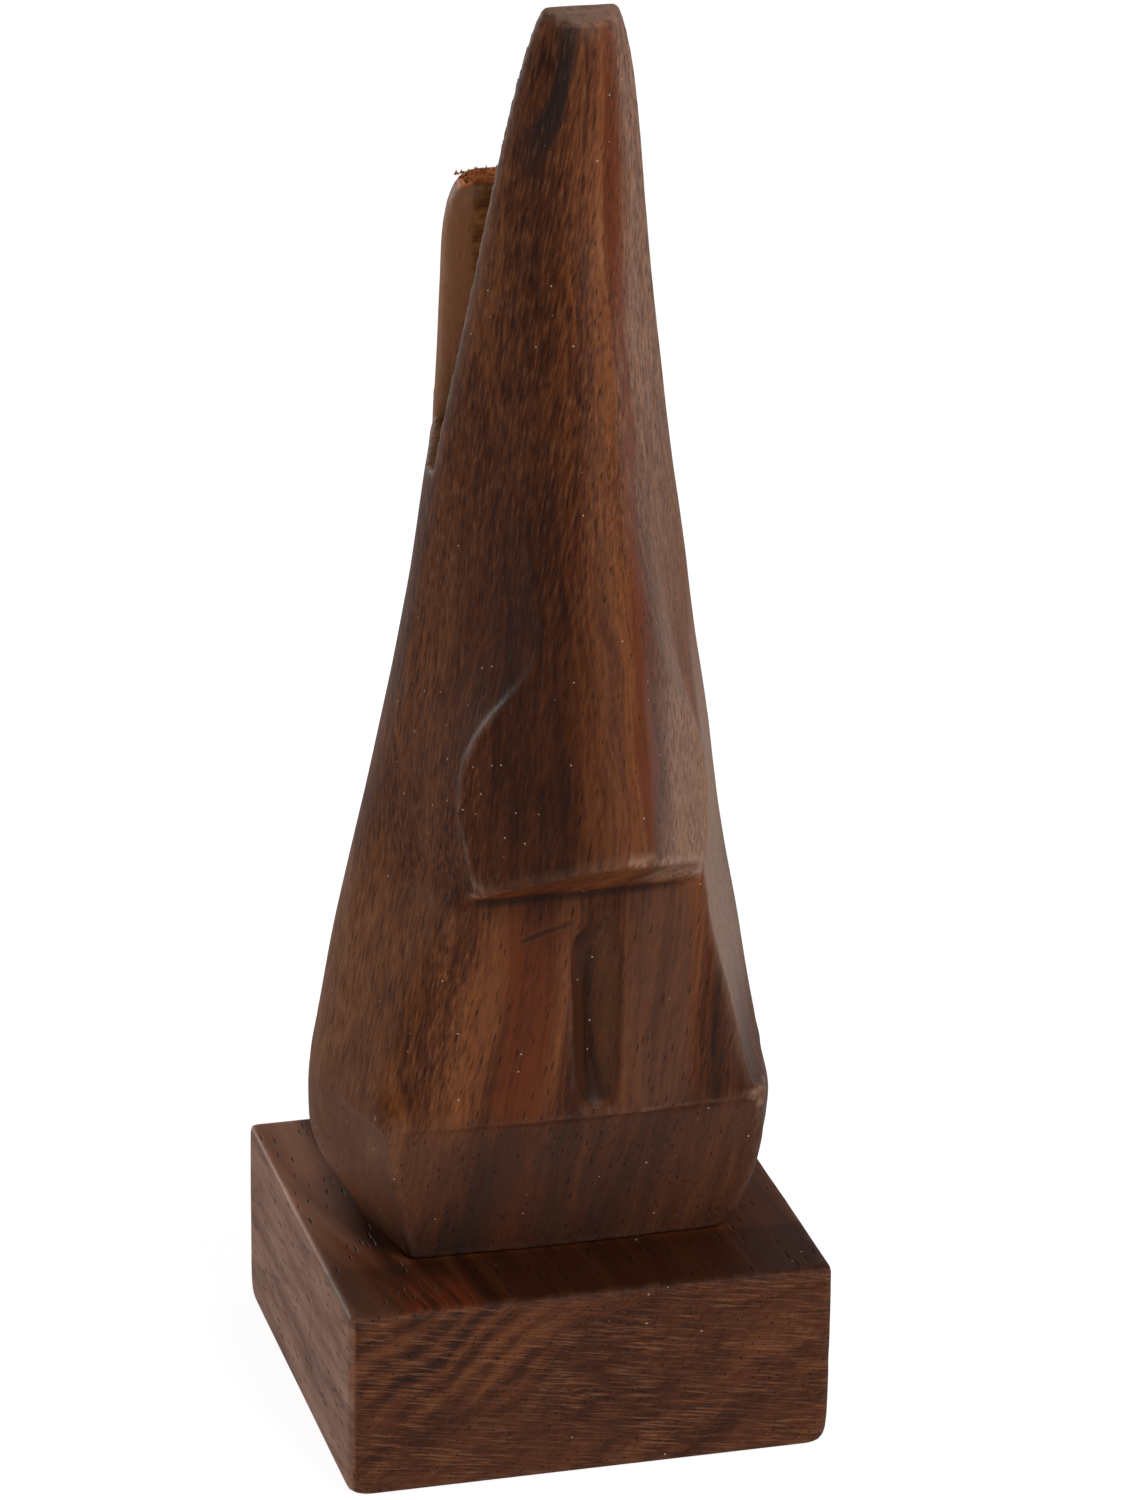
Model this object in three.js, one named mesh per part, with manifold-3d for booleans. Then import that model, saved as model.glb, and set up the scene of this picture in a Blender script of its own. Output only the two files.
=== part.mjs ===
// A hand-carved rosewood stand that holds one pair of folded spectacles on a carved nose.
// Millimetres, +Z up. The origin is the centre of the base's underside; the nose points to -Y.
import * as THREE from "three";
import { mergeVertices } from "three/addons/utils/BufferGeometryUtils.js";
import Module from "manifold-3d";

const wasm = await Module();
wasm.setup();

// ---------------------------------------------------------------- driving dimensions
const baseWidth = 62; // along X
const baseDepth = 58; // along Y
const baseHeight = 25;
const baseTopEdge = 0.5; // sanded top edges
const baseCorner = 2.4; // worn lower corners of the base
const baseUprightCorner = 1; // its upright corners just above them
const baseTopCorner = 0.7; // and at the top

const footZ = baseHeight; // the body stands on the base
const chinZ = 45; // step between chin facet and lip plane
const chinStep = 0.7; // how far the lip plane stands out over the chin facet
const chinFootY = -15.3; // the chin facet leans out from here at the foot
const chinTopY = -20.2; // to here at the step
const lipTopY = -21.6; // front of the lip plane under the nose
const chinFlatX = 10; // half width of the flat middle of the chin facet
const lipFlatX = 12.2; // and of the lip plane
const chinCrown = 0.3; // how far the middle of the chin stands forward of its sides
const lipCrown = 0.4;
const lipFall = 0.7; // how far the lip plane falls back at its side edges
const creaseZ = 76; // where the underside of the nose meets the lip plane
const noseCornerZ = 77.7; // height of the two lower corners of the nose
const noseCornerY = -24.5; // their depth
const undersideRise = 0.577; // the underside of the nose climbs 30 degrees towards its tip
const plainZ = 106; // above this height the sections are level again
const slotFloorZ = 126; // floor of the slot for the folded temples
const topZ = 183.8; // top of the front prong

const slotFrontY = -5.5; // front wall of the slot at its floor
const slotLean = 0.07; // how far the front wall leans forward, per millimetre of height
const slotBackY = 9.5; // rear wall of the slot
const rearBackY = 15; // back of the rear prong
const rearTopZ = 157.3; // top of the rear prong
const rearRoot = 100; // lower end of the rear slab, buried in the body

const sideSoftness = 4.5; // length over which the flank turns into the side
const backCorner = 5; // size of the soft corners between sides and back
const backBulge = 0.2; // how far the middle of the back stands out
const rearFlat = 6.6; // half the width of the sawn front face of the rear prong
const rearFacetLean = 0.55; // depth of the sanded facets beside it, as a share of their width
const rearBackSoft = 1.4; // the chamfer on its back corners
const rearBackDrop = 0.4; // how far its top rounds off towards the back

// ---------------------------------------------------------------- profiles against height, [z, value]
const halfWidthPoints = [
  [25, 23],
  [29, 25.6],
  [34, 28.6],
  [38, 29.6],
  [42, 29.7],
  [47, 29.3],
  [52, 28.4],
  [63, 26.5],
  [85, 22.3],
  [104, 19.1],
  [126, 15.7],
  [150, 11.8],
  [165, 9.6],
  [177, 7.5],
  [181.6, 6.3],
  [topZ, 5.1],
];
const widestYPoints = [
  [25, -1],
  [42, 1],
  [60, 1],
  [77, 0],
  [102, -2.8],
  [126, slotFrontY],
  [topZ, slotFrontY - slotLean * (topZ - slotFloorZ)],
];
const ridgeYPoints = [
  [76, -39.6],
  [86, -38.2],
  [107, -32.6],
  [126, -27.3],
  [151, -20.6],
  [161, -18],
  [172, -16.5],
  [179.5, -15.9],
  [182, -15.5],
  [topZ, -14.9],
];
const ridgeHalfPoints = [
  [76, 4.8],
  [107, 4.6],
  [151, 4.2],
  [172, 3.7],
  [topZ, 3],
];
const ridgeCrownPoints = [
  [76, 2.4],
  [107, 1.7],
  [151, 1.2],
  [topZ, 0.6],
];
const wingXPoints = [
  [77.7, 14.5],
  [82, 15.4],
  [88, 16],
  [93, 15.4],
  [98, 13.9],
  [104, 9.9],
  [110, 6.6],
  [126, 5.3],
  [151, 4.7],
  [172, 4],
  [topZ, 3.2],
];
const wingYPoints = [
  [77.7, -24.5],
  [82, -23.2],
  [88, -20.9],
  [93, -20.6],
  [98, -21.8],
  [104, -24.4],
  [110, -28.4],
  [126, -25.2],
  [151, -18.8],
  [172, -15.4],
  [topZ, -13.6],
];
const lipXPoints = [
  [45, 24.6],
  [60, 20.2],
  [76, 15.3],
];
const chinXPoints = [
  [25, 19.9],
  [36, 22.6],
  [45, 24.2],
];
const backShrinkPoints = [
  [25, 0.9],
  [42, 0.895],
  [77, 0.835],
  [118, 0.7],
  [topZ, 0.7],
];
const backYPoints = [
  [25, 13.4],
  [34, 15],
  [45, 15.6],
  [126, rearBackY],
  [topZ, rearBackY],
];
const rightHipPoints = [
  [25, 0.5],
  [28, 1.6],
  [33, 2.1],
  [38, 1.6],
  [44, 0.2],
  [47, 0],
];
const leanXPoints = [
  [122, 0],
  [150, 0.45],
  [topZ, 1.35],
];
const rearHalfPoints = [
  [100, 11.3],
  [118, 10.9],
  [141, 9.95],
  [149, 9.7],
  [153, 9.2],
  [155.6, 8.3],
  [156.9, 7.2],
  [rearTopZ, 6.2],
];

// A smooth curve through points that never overshoots them.
function curve(points) {
  const last = points.length - 1;
  const slopes = [];
  for (let i = 0; i < last; i++) {
    slopes.push((points[i + 1][1] - points[i][1]) / (points[i + 1][0] - points[i][0]));
  }
  const tangents = points.map((point, i) => {
    if (i === 0) return slopes[0];
    if (i === last) return slopes[last - 1];
    if (slopes[i - 1] * slopes[i] <= 0) return 0;
    return (2 * slopes[i - 1] * slopes[i]) / (slopes[i - 1] + slopes[i]);
  });
  return (z) => {
    if (z <= points[0][0]) return points[0][1];
    if (z >= points[last][0]) return points[last][1];
    let i = 0;
    while (z > points[i + 1][0]) i++;
    const span = points[i + 1][0] - points[i][0];
    const t = (z - points[i][0]) / span;
    const a = points[i][1];
    const b = points[i + 1][1];
    const riseA = tangents[i] * span;
    const riseB = tangents[i + 1] * span;
    const smooth = t * t * (3 - 2 * t);
    return a + (b - a) * smooth + riseA * t * (1 - t) * (1 - t) - riseB * t * t * (1 - t);
  };
}

const halfWidth = curve(halfWidthPoints);
const widestY = curve(widestYPoints);
const ridgeY = curve(ridgeYPoints);
const ridgeHalf = curve(ridgeHalfPoints);
const ridgeCrown = curve(ridgeCrownPoints);
const wingX = curve(wingXPoints);
const wingY = curve(wingYPoints);
const lipX = curve(lipXPoints);
const chinX = curve(chinXPoints);
const backShrink = curve(backShrinkPoints);
const backY = curve(backYPoints);
const rightHip = curve(rightHipPoints);
const leanX = curve(leanXPoints);
const rearHalf = curve(rearHalfPoints);

const mix = (a, b, t) => a + (b - a) * t;

// A point on the soft corner from a through the corner b to c.
function soft(a, b, c, t) {
  const u = 1 - t;
  return [u * u * a[0] + 2 * u * t * b[0] + t * t * c[0], u * u * a[1] + 2 * u * t * b[1] + t * t * c[1]];
}

// The front of the body at one height, from the centre line: centre, shoulder and front edge of the cheek.
function frontOf(zone, z) {
  if (zone === "chin") {
    const y = mix(chinFootY, chinTopY, (z - footZ) / (chinZ - footZ));
    return { centre: [0, y - chinCrown], shoulder: [chinFlatX, y - 0.2], edge: [chinX(z), y + chinCrown] };
  }
  if (zone === "lip") {
    const y = mix(chinTopY - chinStep, lipTopY, (z - chinZ) / (creaseZ - chinZ));
    return { centre: [0, y - lipCrown], shoulder: [lipFlatX, y], edge: [lipX(z), y + lipFall] };
  }
  const y = ridgeY(z);
  return {
    centre: [0, y],
    shoulder: [ridgeHalf(z), y + ridgeCrown(z)],
    edge: [wingX(z), wingY(z)],
  };
}

// Half of the section at one height, as points from the front centre round to the back centre.
function halfSection(zone, z) {
  const { centre, shoulder, edge } = frontOf(zone, z);
  const w = halfWidth(z);
  const widest = [w, widestY(z)];
  const flankLength = Math.hypot(widest[0] - edge[0], widest[1] - edge[1]);
  const straight = 1 - Math.min(sideSoftness, flankLength * 0.4) / flankLength;
  const flankBend = [mix(edge[0], widest[0], straight), mix(edge[1], widest[1], straight)];
  const back = backY(z);
  const sideEnd = [w * backShrink(z), back - backCorner];
  const sideBend = [mix(widest[0], sideEnd[0], 0.3), mix(widest[1], sideEnd[1], 0.3)];
  const backBend = [sideEnd[0] - 0.6, back];
  const backEnd = [sideEnd[0] - backCorner, back];
  const points = [];
  for (let i = 0; i < 4; i++) {
    const t = i / 4;
    points.push([mix(centre[0], shoulder[0], t), mix(centre[1], shoulder[1], t * t)]);
  }
  for (let i = 0; i < 4; i++) {
    points.push([mix(shoulder[0], edge[0], i / 4), mix(shoulder[1], edge[1], i / 4)]);
  }
  for (let i = 0; i < 3; i++) {
    points.push([mix(edge[0], flankBend[0], i / 3), mix(edge[1], flankBend[1], i / 3)]);
  }
  for (let i = 0; i < 6; i++) {
    points.push(soft(flankBend, widest, sideBend, i / 6));
  }
  points.push(sideBend);
  for (let i = 0; i < 4; i++) {
    points.push(soft(sideEnd, backBend, backEnd, i / 4));
  }
  points.push(backEnd);
  points.push([0, back + backBulge]);
  return points;
}

// One closed ring of the body. lift raises the front of the ring to follow the underside of the nose.
function bodyRing(zone, z, lift) {
  const count = halfSection(zone, z).length;
  const half = [];
  for (let k = 0; k < count; k++) {
    let height = z;
    let point = halfSection(zone, height)[k];
    for (let pass = 0; pass < 12; pass++) {
      height = z + lift * undersideRise * Math.max(0, noseCornerY - point[1]);
      point = halfSection(zone, height)[k];
    }
    half.push([point[0], point[1], height]);
  }
  const fuller = (x, h) => rightHip(h) * Math.min(1, 1.5 * (x / halfWidth(h)) ** 2);
  const right = half.map(([x, y, h]) => [x + leanX(h) + fuller(x, h), y, h]);
  const left = half.slice(1, -1).map(([x, y, h]) => [-x + leanX(h), y, h]);
  return [...right, ...left.reverse()];
}

// A closed solid from rings with equal point counts, each capped by a fan at both ends.
function loft(rings) {
  const count = rings[0].length;
  const positions = [];
  const faces = [];
  for (const ring of rings) {
    for (const point of ring) positions.push(...point);
  }
  for (let i = 0; i + 1 < rings.length; i++) {
    for (let j = 0; j < count; j++) {
      const a = i * count + j;
      const b = i * count + ((j + 1) % count);
      faces.push(a, b, b + count, a, b + count, a + count);
    }
  }
  const capWith = (ring, start, up) => {
    const middle = [0, 1, 2].map((axis) => ring.reduce((sum, point) => sum + point[axis], 0) / count);
    const centre = positions.length / 3;
    positions.push(...middle);
    for (let j = 0; j < count; j++) {
      const a = start + j;
      const b = start + ((j + 1) % count);
      if (up) faces.push(a, b, centre);
      else faces.push(b, a, centre);
    }
  };
  capWith(rings[0], 0, false);
  capWith(rings[rings.length - 1], (rings.length - 1) * count, true);
  const geometry = new THREE.BufferGeometry();
  geometry.setAttribute("position", new THREE.Float32BufferAttribute(positions, 3));
  geometry.setIndex(faces);
  return geometry;
}

function solidOf(geometry) {
  const plain = geometry.clone();
  plain.deleteAttribute("normal");
  plain.deleteAttribute("uv");
  const merged = mergeVertices(plain, 1e-4);
  const mesh = new wasm.Mesh({
    numProp: 3,
    vertProperties: new Float32Array(merged.attributes.position.array),
    triVerts: new Uint32Array(merged.index.array),
  });
  return new wasm.Manifold(mesh);
}

function geometryOf(solid) {
  const mesh = solid.getMesh();
  const geometry = new THREE.BufferGeometry();
  geometry.setAttribute("position", new THREE.Float32BufferAttribute(mesh.vertProperties, 3));
  geometry.setIndex(new THREE.BufferAttribute(new Uint32Array(mesh.triVerts), 1));
  geometry.computeVertexNormals();
  return geometry;
}

// A prism from an outline in Y and Z, centred on X = 0.
function prismAlongX(outline, width) {
  const shape = new THREE.Shape(outline.map(([y, z]) => new THREE.Vector2(y, z)));
  const geometry = new THREE.ExtrudeGeometry(shape, { depth: width, bevelEnabled: false });
  geometry.rotateX(Math.PI / 2);
  geometry.rotateZ(Math.PI / 2);
  geometry.translate(-width / 2, 0, 0);
  return geometry;
}

// ---------------------------------------------------------------- carved body
const rings = [];
for (const z of [25, 27, 29, 31, 33.5, 36, 39, 42, 44]) rings.push(bodyRing("chin", z, 0));
rings.push(bodyRing("chin", chinZ, 0));
for (const z of [45.3, 49, 54, 60, 66, 72]) rings.push(bodyRing("lip", z, 0));
rings.push(bodyRing("lip", creaseZ, 0));
for (const z of [77.7, 80, 82.5, 85, 88, 91, 94, 97, 100, 103]) {
  const lift = (plainZ - z) / (plainZ - noseCornerZ);
  rings.push(bodyRing("nose", z, lift));
}
for (const z of [106, 111, 118, 126, 135, 144, 151, 157, 162, 168, 173, 177, 180, 181.8, 182.8, topZ]) {
  rings.push(bodyRing("nose", z, 0));
}
const carved = solidOf(loft(rings));

// Everything behind the front prong above the slot floor is sawn away.
const sawTop = topZ + 10;
const sawReach = 40; // past the back of the body
const sawWidth = 100; // past both of its sides
const sawnAway = prismAlongX(
  [
    [slotFrontY, slotFloorZ],
    [sawReach, slotFloorZ],
    [sawReach, sawTop],
    [slotFrontY - slotLean * (sawTop - slotFloorZ), sawTop],
  ],
  sawWidth,
);

// The rear prong: a straight slab with a rounded top and sanded front corners.
function rearRing(z) {
  const w = rearHalf(z);
  const drop = Math.max(0, z - rearTopZ + 1) * rearBackDrop;
  const flat = Math.min(w - 0.5, rearFlat);
  const facet = (w - flat) * rearFacetLean;
  const right = [
    [0, slotBackY],
    [flat, slotBackY],
    [w - 0.3, slotBackY + facet],
    [w, Math.min(slotBackY + 2 * facet, rearBackY - 1.4)],
    [w - 0.3, rearBackY - 1],
    [w - rearBackSoft, rearBackY - drop],
    [0, rearBackY - drop],
  ];
  const left = right.slice(1, -1).map(([x, y]) => [-x, y]);
  return [...right, ...left.reverse()].map(([x, y]) => [x, y, z]);
}
const rearHeights = [rearRoot, 118, 126, 134, 141, 146, 149, 151.5, 153.5, 155.2, 156.5, rearTopZ];
const rearProng = solidOf(loft(rearHeights.map(rearRing)));

// The groove in the lip: a steep left wall, a shallow right wall, a pointed top and a round bottom.
const groovePoints = [
  // height, left edge, valley, right edge, depth
  [46.2, 1.9, 2.2, 2.6, 0.05],
  [47.4, 0.3, 1.6, 4.2, 1.1],
  [50, -0.7, 1.3, 5.1, 2.3],
  [56, -0.9, 1.2, 5.2, 2.9],
  [62, -1.1, 1.1, 5.2, 2.6],
  [67, -1.3, 1.2, 4.9, 1.7],
  [71, -1, 2.2, 4.4, 0.6],
  [72.6, 1.8, 2.6, 3.4, 0.05],
];
const grooveOut = 3; // the cutter reaches this far in front of the lip
const grooveHollow = 0.8; // share of the depth reached beside the valley
const grooveRings = groovePoints.map(([z, left, valley, right, depth]) => {
  const face = frontOf("lip", z).centre[1] + 0.1;
  return [
    [left - 0.4, face - grooveOut, z],
    [right + 1.2, face - grooveOut, z],
    [right, face, z],
    [mix(valley, right, 0.35), face + depth * grooveHollow, z],
    [valley, face + depth, z],
    [mix(valley, left, 0.55), face + depth * grooveHollow, z],
    [left, face, z],
  ];
});
const groove = solidOf(loft(grooveRings));

// ---------------------------------------------------------------- screws and their holes
const screwPlaces = { screw_front: -8, screw_rear: 7 }; // Y of each, both on the centre line
const headRadius = 4.3;
const headSink = 0.8; // the head sits this far above the base's underside
const headHeight = 2.9;
const shankRadius = 2;
const shankEnd = 23;
const threadRadius = 1.7;
const threadEnd = 37;
const tipZ = 40.5;
const play = 0.3; // clearance all round each screw
const recessDepth = 2.2;
const recessLength = 4.6; // of each arm pair of the cross recess
const recessWidth = 0.9;

function turned(profile) {
  const points = profile.map(([r, z]) => new THREE.Vector2(r, z));
  const geometry = new THREE.LatheGeometry(points, 28);
  geometry.rotateX(Math.PI / 2);
  return geometry;
}
function screwProfile(grow) {
  const foot = grow ? -1 : headSink;
  const radius = headRadius + grow;
  return [
    [0, foot],
    [radius, foot],
    [radius, headSink + 0.4],
    [shankRadius + grow, headSink + headHeight],
    [shankRadius + grow, shankEnd],
    [threadRadius + grow, shankEnd + 1],
    [threadRadius + grow, threadEnd],
    [0, tipZ + 2 * grow],
  ];
}
function at(solid, y) {
  return solid.translate([0, y, 0]);
}
const screwSolid = solidOf(turned(screwProfile(0)));
const holeSolid = solidOf(turned(screwProfile(play)));

// A cross recess for the driver, cut up into the head.
const blade = new THREE.BoxGeometry(recessLength, recessWidth, 2 * recessDepth);
const bladeAcross = blade.clone().rotateZ(Math.PI / 2);
const recess = solidOf(blade).add(solidOf(bladeAcross)).translate([0, 0, headSink]);
const finishedScrew = screwSolid.subtract(recess);

let body = carved.subtract(solidOf(sawnAway)).add(rearProng).subtract(groove);

// ---------------------------------------------------------------- base block
function baseRing(inset, radius, z) {
  const x = baseWidth / 2 - inset - radius;
  const y = baseDepth / 2 - inset - radius;
  const corners = [
    [x, -y, -90],
    [x, y, 0],
    [-x, y, 90],
    [-x, -y, 180],
  ];
  const ring = [];
  for (const [cx, cy, start] of corners) {
    for (let i = 0; i <= 4; i++) {
      const angle = THREE.MathUtils.degToRad(start + (i * 90) / 4);
      ring.push([cx + radius * Math.cos(angle), cy + radius * Math.sin(angle), z]);
    }
  }
  return ring;
}
let base = solidOf(
  loft([
    baseRing(0.7, baseCorner, 0),
    baseRing(0.2, baseCorner, 0.6),
    baseRing(0, baseCorner * 0.7, 1.8),
    baseRing(0, baseUprightCorner, 5),
    baseRing(0, baseTopCorner, baseHeight - baseTopEdge),
    baseRing(baseTopEdge * 0.7, baseTopCorner, baseHeight),
  ]),
);

for (const y of Object.values(screwPlaces)) {
  body = body.subtract(at(holeSolid, y));
  base = base.subtract(at(holeSolid, y));
}

// ---------------------------------------------------------------- assembly
const wood = (name, colour) => {
  return new THREE.MeshStandardMaterial({ name, color: colour, roughness: 0.5, metalness: 0 });
};
const steel = (name) => {
  return new THREE.MeshStandardMaterial({ name, color: 0xb9b7ae, roughness: 0.35, metalness: 0.9 });
};
const group = new THREE.Group();
group.name = "spectacle_stand";

function place(name, solid, material) {
  const mesh = new THREE.Mesh(geometryOf(solid), material);
  mesh.name = name;
  group.add(mesh);
}

place("nose_body", body, wood("rosewood_body", 0x5a2f1c));
place("base_block", base, wood("rosewood_base", 0x54301f));
for (const [name, y] of Object.entries(screwPlaces)) {
  place(name, at(finishedScrew, y), steel(name + "_steel"));
}

export default group;
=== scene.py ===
import math

import bpy
import numpy as np
from mathutils import Matrix, Vector


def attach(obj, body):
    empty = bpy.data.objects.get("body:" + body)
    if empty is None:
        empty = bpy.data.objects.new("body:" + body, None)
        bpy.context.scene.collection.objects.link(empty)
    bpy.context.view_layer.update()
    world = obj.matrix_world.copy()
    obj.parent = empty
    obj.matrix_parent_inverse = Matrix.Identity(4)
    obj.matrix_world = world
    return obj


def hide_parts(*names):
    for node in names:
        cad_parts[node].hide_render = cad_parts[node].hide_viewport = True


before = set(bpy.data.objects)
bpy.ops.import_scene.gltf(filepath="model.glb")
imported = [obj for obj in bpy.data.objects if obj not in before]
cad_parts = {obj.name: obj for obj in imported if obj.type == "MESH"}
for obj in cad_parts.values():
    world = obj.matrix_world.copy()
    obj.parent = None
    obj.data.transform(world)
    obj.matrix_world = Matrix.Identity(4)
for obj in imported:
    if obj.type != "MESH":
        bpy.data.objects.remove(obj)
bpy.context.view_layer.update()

MM = 0.001
scene = bpy.context.scene

# ---------- shape of the stand, in millimetres
GRID = 0.54  # cell of the carving grid
FAR = 5.0  # distance given to cells that are nowhere near the surface
SOFTNESS = 0.30  # how far sanding has rounded every edge
EDGE_REACH = 1.3  # how far around a vertex is averaged to tell an edge from a hollow

BASE_WIDTH = 62.0
BASE_DEPTH = 58.0
PLINTH_EDGE = 0.55  # radius on the top edges of the base
FOOT_Z = 25.0  # top of the base, where the body stands
CHIN_Z = 45.0  # step between the chin facet and the lip plane
CREASE_Z = 76.0  # the underside of the nose meets the lip plane here
NOSE_CORNER_Z = 77.7  # the outer corners of the nose's underside
NOSE_CORNER_Y = -24.5
RIGHT_CORNER_LIFT = 1.6  # the right corner was cut a little higher than the left one
UNDERSIDE_RISE = 0.577  # the underside climbs towards the back
UNDERSIDE_COSINE = 0.866  # of that climb
SLOT_FLOOR_Z = 126.0
SLOT_FRONT_Y = -5.5
SLOT_LEAN = 0.07  # the front wall of the slot leans forward
SLOT_BACK_Y = 9.5
SLOT_EDGE = 0.55  # radius on the edges that the slot leaves
TOP_Z = 183.8
TOP_BACK_Y = -9.6
TOP_TILT = 0.12  # the top of the front prong falls towards the front
TOP_LIFT = 0.4  # makes up for what the rounding of its edges takes off
TOP_EDGE = 0.4
REAR_BACK_Y = 15.0
REAR_TOP_Z = 157.3
REAR_EDGE = 0.2
REAR_FLAT = 6.6  # half the width of the sawn front face of the rear prong
REAR_FACET_LEAN = 0.55  # depth of the sanded facets beside it, as a share of their width
SIDE_SOFTNESS = 4.5  # how far back the corner between the front and the flank bends
KNIFE_START = (-9.0, -21.7, 69.6)  # the knife crease at the top of the lip
KNIFE_END = (-0.8, -22.0, 72.2)

SCREW_YS = (-8.0, 7.0)  # two holes for the screws, countersunk from beneath
HOLE_RADIUS = 2.3
HOLE_TOP = 41.0
HEAD_HOLE_RADIUS = 4.6
HEAD_HOLE_TOP = 3.7


def slot_wall_y(z):
    """Where the front wall of the slot stands at a height."""
    return SLOT_FRONT_Y - SLOT_LEAN * (z - SLOT_FLOOR_Z)


def curve(points):
    """A smooth curve through (height, value) points that never overshoots them."""
    at = np.array([p[0] for p in points], float)
    value = np.array([p[1] for p in points], float)
    span = np.diff(at)
    slope = np.diff(value) / span
    tangent = np.zeros(len(at))
    tangent[0] = slope[0]
    tangent[-1] = slope[-1]
    for i in range(1, len(at) - 1):
        if slope[i - 1] * slope[i] > 0:
            tangent[i] = 2 * slope[i - 1] * slope[i] / (slope[i - 1] + slope[i])

    def evaluate(z):
        z = min(max(float(z), at[0]), at[-1])
        i = min(int(np.searchsorted(at, z, side="right")) - 1, len(span) - 1)
        t = (z - at[i]) / span[i]
        rise_a = tangent[i] * span[i]
        rise_b = tangent[i + 1] * span[i]
        smooth = t * t * (3 - 2 * t)
        bend = rise_a * t * (1 - t) ** 2 - rise_b * t * t * (1 - t)
        return value[i] + (value[i + 1] - value[i]) * smooth + bend

    return evaluate


half_width = curve([
    (25, 23), (29, 25.6), (34, 28.6), (38, 29.6), (42, 29.7), (47, 29.3), (52, 28.4), (63, 26.5),
    (85, 22.3), (104, 19.1), (126, 16), (150, 12.1), (165, 9.9), (174, 8.3), (179, 7.1), (182, 6.1),
    (TOP_Z, 5.2),
])
widest_y = curve([
    (25, -1), (42, 1), (60, 1), (77, 0), (102, -2.8), (126, SLOT_FRONT_Y), (TOP_Z, slot_wall_y(TOP_Z)),
])
ridge_y = curve([
    (76, -39.6), (86, -38.2), (107, -32.6), (126, -27.3), (151, -20.6), (161, -18), (172, -16.5),
    (179.5, -15.9), (182, -15.5), (TOP_Z, -14.9),
])
ridge_half = curve([(76, 4.8), (107, 4.6), (151, 4.2), (172, 3.7), (TOP_Z, 3)])
ridge_crown = curve([(76, 2.4), (107, 1.7), (151, 1.2), (TOP_Z, 0.6)])
# the outer edge of the nose: its wings below, the shoulders of the prong above
wing_x = curve([
    (77.7, 14.5), (82, 15.4), (88, 16), (93, 15.4), (98, 13.7), (103, 10.8), (107, 8.6), (112, 6.7),
    (126, 5.3), (151, 4.7), (172, 4), (TOP_Z, 3.2),
])
wing_y = curve([
    (77.7, -24.5), (82, -23.2), (88, -20.9), (93, -20.6), (98, -21.9), (103, -24.3), (107, -26.6),
    (112, -27.9), (126, -25.2), (151, -18.8), (172, -15.4), (TOP_Z, -13.6),
])
lip_x = curve([(45, 24.6), (60, 20.2), (76, 15.9)])
rim_x = curve([(45, 24.6), (47.5, 22.4), (54, 20.7), (60, 19.3), (67, 17.3), (72, 16.2), (76, 15.9)])
# how far the nose stands proud of the cheek
wing_step = curve([(76, 0.7), (98, 0.6), (104, 0.4), (110, 0.12), (114, 0)])
chin_x = curve([(25, 19.9), (36, 22.6), (45, 24.2)])
back_shrink = curve([(25, 0.9), (42, 0.895), (77, 0.835), (118, 0.7), (TOP_Z, 0.7)])
back_y = curve([(25, 13.4), (34, 15), (45, 15.6), (126, REAR_BACK_Y), (TOP_Z, REAR_BACK_Y)])
right_hip = curve([(25, 0.5), (28, 1.6), (33, 2.1), (38, 1.6), (44, 0.2), (47, 0)])
lean_x = curve([(112, 0), (126, -0.3), (150, 0.12), (TOP_Z, 1.3)])
rear_half = curve([
    (100, 11.3), (118, 10.9), (141, 9.95), (149, 9.7), (153, 9.2), (155.6, 8.3), (156.9, 7.2),
    (REAR_TOP_Z, 6.2),
])


def mix(a, b, t):
    return a + (b - a) * t


def front_of(zone, z, side):
    """Centre, shoulder and outer edge of the body's front at one height, on one side."""
    if zone == "chin":
        y = mix(-15.3, -20.2, (z - FOOT_Z) / (CHIN_Z - FOOT_Z))
        return (0, y - 0.3), (10, y - 0.2), (chin_x(z), y + 0.3)
    if zone == "lip":
        y = mix(-20.9, -21.6, (z - CHIN_Z) / (CREASE_Z - CHIN_Z))
        return (0, y - 0.4), (12.2, y), (rim_x(z) if side > 0 else lip_x(z), y + 0.7)
    y = ridge_y(z)
    return (0, y), (ridge_half(z), y + ridge_crown(z)), (wing_x(z), wing_y(z))


def bow(a, b, c, count):
    """Points on the soft corner from a through the corner b to c."""
    return [tuple((1 - t) ** 2 * a + 2 * t * (1 - t) * b + t * t * c) for t in np.arange(count + 1) / count]


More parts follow.
